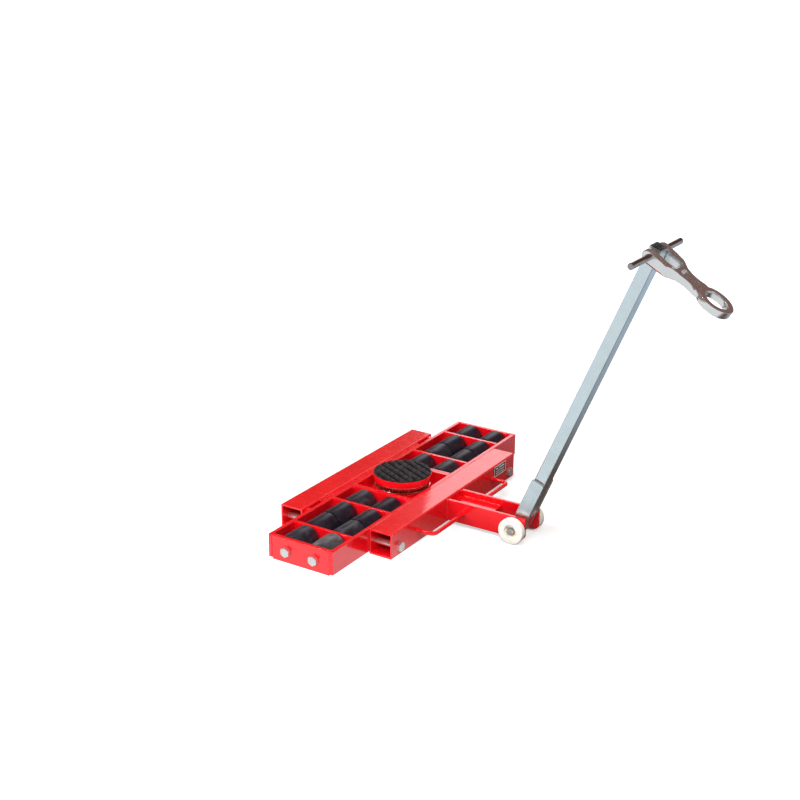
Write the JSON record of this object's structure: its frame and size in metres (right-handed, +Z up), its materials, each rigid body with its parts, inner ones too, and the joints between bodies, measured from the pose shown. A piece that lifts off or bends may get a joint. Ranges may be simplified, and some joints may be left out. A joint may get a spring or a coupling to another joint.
{
  "type": "steerable machine skate",
  "caption": "Low red roller skate for moving machines, with a ball-bearing turntable under a rubber pad, sockets for coupling bars and a tilting drawbar with a towing eye.",
  "frame": {"origin": "on the floor, under the middle of the whole object's outline as parked; the turntable's axis stands 0.3715 m behind it", "axes": "+X points the way the skate is towed, +Y to its left along the rollers' axles, +Z up"},
  "size_m": [1.1486, 1.0356, 0.8874],
  "materials": {
    "red_paint": "bright red gloss enamel",
    "roller_nylon": "blue-black cast nylon, scuffed",
    "pad_rubber": "black rubber",
    "bright_steel": "bright plated steel",
    "bearing_bronze": "turned bronze",
    "zinc_plate": "clear blue-white zinc plate",
    "yellow_zinc": "yellow passivated zinc",
    "white_nylon": "off-white nylon",
    "data_plate": "blank satin plate"
  },
  "bodies": {
    "cassette_frame": {"arm_left": "red_paint", "arm_right": "red_paint", "arm_web_plate": "red_paint", "axle_front_left": "bright_steel", "axle_front_right": "bright_steel", "axle_rear_left": "bright_steel", "axle_rear_right": "bright_steel", "bay_wall_left": "red_paint", "bay_wall_right": "red_paint", "coupling_pin_front_left": "bright_steel", "coupling_pin_front_right": "bright_steel", "coupling_pin_rear_left": "bright_steel", "coupling_pin_rear_right": "bright_steel", "data_plate": "data_plate", "end_plate_left": "red_paint", "end_plate_right": "red_paint", "front_tube": "red_paint", "handle_left": "red_paint", "handle_right": "red_paint", "inner_divider_left": "red_paint", "inner_divider_right": "red_paint", "lower_race": "bright_steel", "outer_divider_left": "red_paint", "outer_divider_right": "red_paint", "pivot_axle": "bright_steel", "rear_packer": "red_paint", "rear_tube": "red_paint", "side_plate_front": "red_paint", "side_plate_rear": "red_paint", "split_pin_left": "yellow_zinc", "split_pin_right": "yellow_zinc", "turntable_base": "red_paint"},
    "turntable": {"turntable_disc": "red_paint", "load_pad": "pad_rubber", "upper_race": "bright_steel", "spigot_collar": "bright_steel"},
    "ball_cage": {"ball_cage": "bearing_bronze"},
    "roller_front_left_1": {"roller_front_left_1": "roller_nylon"},
    "roller_front_left_2": {"roller_front_left_2": "roller_nylon"},
    "roller_front_left_3": {"roller_front_left_3": "roller_nylon"},
    "roller_front_left_4": {"roller_front_left_4": "roller_nylon"},
    "roller_front_right_1": {"roller_front_right_1": "roller_nylon"},
    "roller_front_right_2": {"roller_front_right_2": "roller_nylon"},
    "roller_front_right_3": {"roller_front_right_3": "roller_nylon"},
    "roller_front_right_4": {"roller_front_right_4": "roller_nylon"},
    "roller_rear_left_1": {"roller_rear_left_1": "roller_nylon"},
    "roller_rear_left_2": {"roller_rear_left_2": "roller_nylon"},
    "roller_rear_left_3": {"roller_rear_left_3": "roller_nylon"},
    "roller_rear_left_4": {"roller_rear_left_4": "roller_nylon"},
    "roller_rear_right_1": {"roller_rear_right_1": "roller_nylon"},
    "roller_rear_right_2": {"roller_rear_right_2": "roller_nylon"},
    "roller_rear_right_3": {"roller_rear_right_3": "roller_nylon"},
    "roller_rear_right_4": {"roller_rear_right_4": "roller_nylon"},
    "support_wheel_left": {"support_wheel_left": "white_nylon"},
    "support_wheel_right": {"support_wheel_right": "white_nylon"},
    "drawbar": {"drawbar_tube": "zinc_plate", "drawbar_cheek_left": "zinc_plate", "drawbar_cheek_right": "zinc_plate", "t_bar": "bright_steel"},
    "towing_eye": {"towing_eye": "zinc_plate"}
  },
  "joints": [
    {"name": "turntable_spin", "type": "hinge", "parent": "cassette_frame", "child": "turntable", "pos_m": [-0.37155, 0, 0.08], "axis": [0, 0, 1], "continuous": true},
    {"name": "ball_cage_spin", "type": "hinge", "parent": "cassette_frame", "child": "ball_cage", "pos_m": [-0.37155, 0, 0.0725], "axis": [0, 0, 1], "continuous": true},
    {"name": "roller_spin_front_left_1", "type": "hinge", "parent": "cassette_frame", "child": "roller_front_left_1", "pos_m": [-0.32615, 0.165, 0.04], "axis": [0, 1, 0], "continuous": true},
    {"name": "roller_spin_front_left_2", "type": "hinge", "parent": "cassette_frame", "child": "roller_front_left_2", "pos_m": [-0.32615, 0.265, 0.04], "axis": [0, 1, 0], "continuous": true},
    {"name": "roller_spin_front_left_3", "type": "hinge", "parent": "cassette_frame", "child": "roller_front_left_3", "pos_m": [-0.32615, 0.352, 0.04], "axis": [0, 1, 0], "continuous": true},
    {"name": "roller_spin_front_left_4", "type": "hinge", "parent": "cassette_frame", "child": "roller_front_left_4", "pos_m": [-0.32615, 0.45075, 0.04], "axis": [0, 1, 0], "continuous": true},
    {"name": "roller_spin_front_right_1", "type": "hinge", "parent": "cassette_frame", "child": "roller_front_right_1", "pos_m": [-0.32615, -0.165, 0.04], "axis": [0, 1, 0], "continuous": true},
    {"name": "roller_spin_front_right_2", "type": "hinge", "parent": "cassette_frame", "child": "roller_front_right_2", "pos_m": [-0.32615, -0.265, 0.04], "axis": [0, 1, 0], "continuous": true},
    {"name": "roller_spin_front_right_3", "type": "hinge", "parent": "cassette_frame", "child": "roller_front_right_3", "pos_m": [-0.32615, -0.352, 0.04], "axis": [0, 1, 0], "continuous": true},
    {"name": "roller_spin_front_right_4", "type": "hinge", "parent": "cassette_frame", "child": "roller_front_right_4", "pos_m": [-0.32615, -0.45075, 0.04], "axis": [0, 1, 0], "continuous": true},
    {"name": "roller_spin_rear_left_1", "type": "hinge", "parent": "cassette_frame", "child": "roller_rear_left_1", "pos_m": [-0.41695, 0.165, 0.04], "axis": [0, 1, 0], "continuous": true},
    {"name": "roller_spin_rear_left_2", "type": "hinge", "parent": "cassette_frame", "child": "roller_rear_left_2", "pos_m": [-0.41695, 0.265, 0.04], "axis": [0, 1, 0], "continuous": true},
    {"name": "roller_spin_rear_left_3", "type": "hinge", "parent": "cassette_frame", "child": "roller_rear_left_3", "pos_m": [-0.41695, 0.352, 0.04], "axis": [0, 1, 0], "continuous": true},
    {"name": "roller_spin_rear_left_4", "type": "hinge", "parent": "cassette_frame", "child": "roller_rear_left_4", "pos_m": [-0.41695, 0.45075, 0.04], "axis": [0, 1, 0], "continuous": true},
    {"name": "roller_spin_rear_right_1", "type": "hinge", "parent": "cassette_frame", "child": "roller_rear_right_1", "pos_m": [-0.41695, -0.165, 0.04], "axis": [0, 1, 0], "continuous": true},
    {"name": "roller_spin_rear_right_2", "type": "hinge", "parent": "cassette_frame", "child": "roller_rear_right_2", "pos_m": [-0.41695, -0.265, 0.04], "axis": [0, 1, 0], "continuous": true},
    {"name": "roller_spin_rear_right_3", "type": "hinge", "parent": "cassette_frame", "child": "roller_rear_right_3", "pos_m": [-0.41695, -0.352, 0.04], "axis": [0, 1, 0], "continuous": true},
    {"name": "roller_spin_rear_right_4", "type": "hinge", "parent": "cassette_frame", "child": "roller_rear_right_4", "pos_m": [-0.41695, -0.45075, 0.04], "axis": [0, 1, 0], "continuous": true},
    {"name": "support_wheel_left_spin", "type": "hinge", "parent": "cassette_frame", "child": "support_wheel_left", "pos_m": [0.02395, 0.0575, 0.038], "axis": [0, 1, 0], "continuous": true},
    {"name": "support_wheel_right_spin", "type": "hinge", "parent": "cassette_frame", "child": "support_wheel_right", "pos_m": [0.02395, -0.0575, 0.038], "axis": [0, 1, 0], "continuous": true},
    {"name": "drawbar_tilt", "type": "hinge", "parent": "cassette_frame", "child": "drawbar", "pos_m": [0.02395, 0, 0.038], "axis": [0, 1, 0], "range_deg": [-82, 52]},
    {"name": "eye_swivel", "type": "hinge", "parent": "drawbar", "child": "towing_eye", "pos_m": [0.3674, 0, 0.8634], "axis": [0, 1, 0], "range_deg": [-245, 48]}
  ],
  "couplings": [
    {"joint": "ball_cage_spin", "follows": "turntable_spin", "ratio": 0.5}
  ]
}
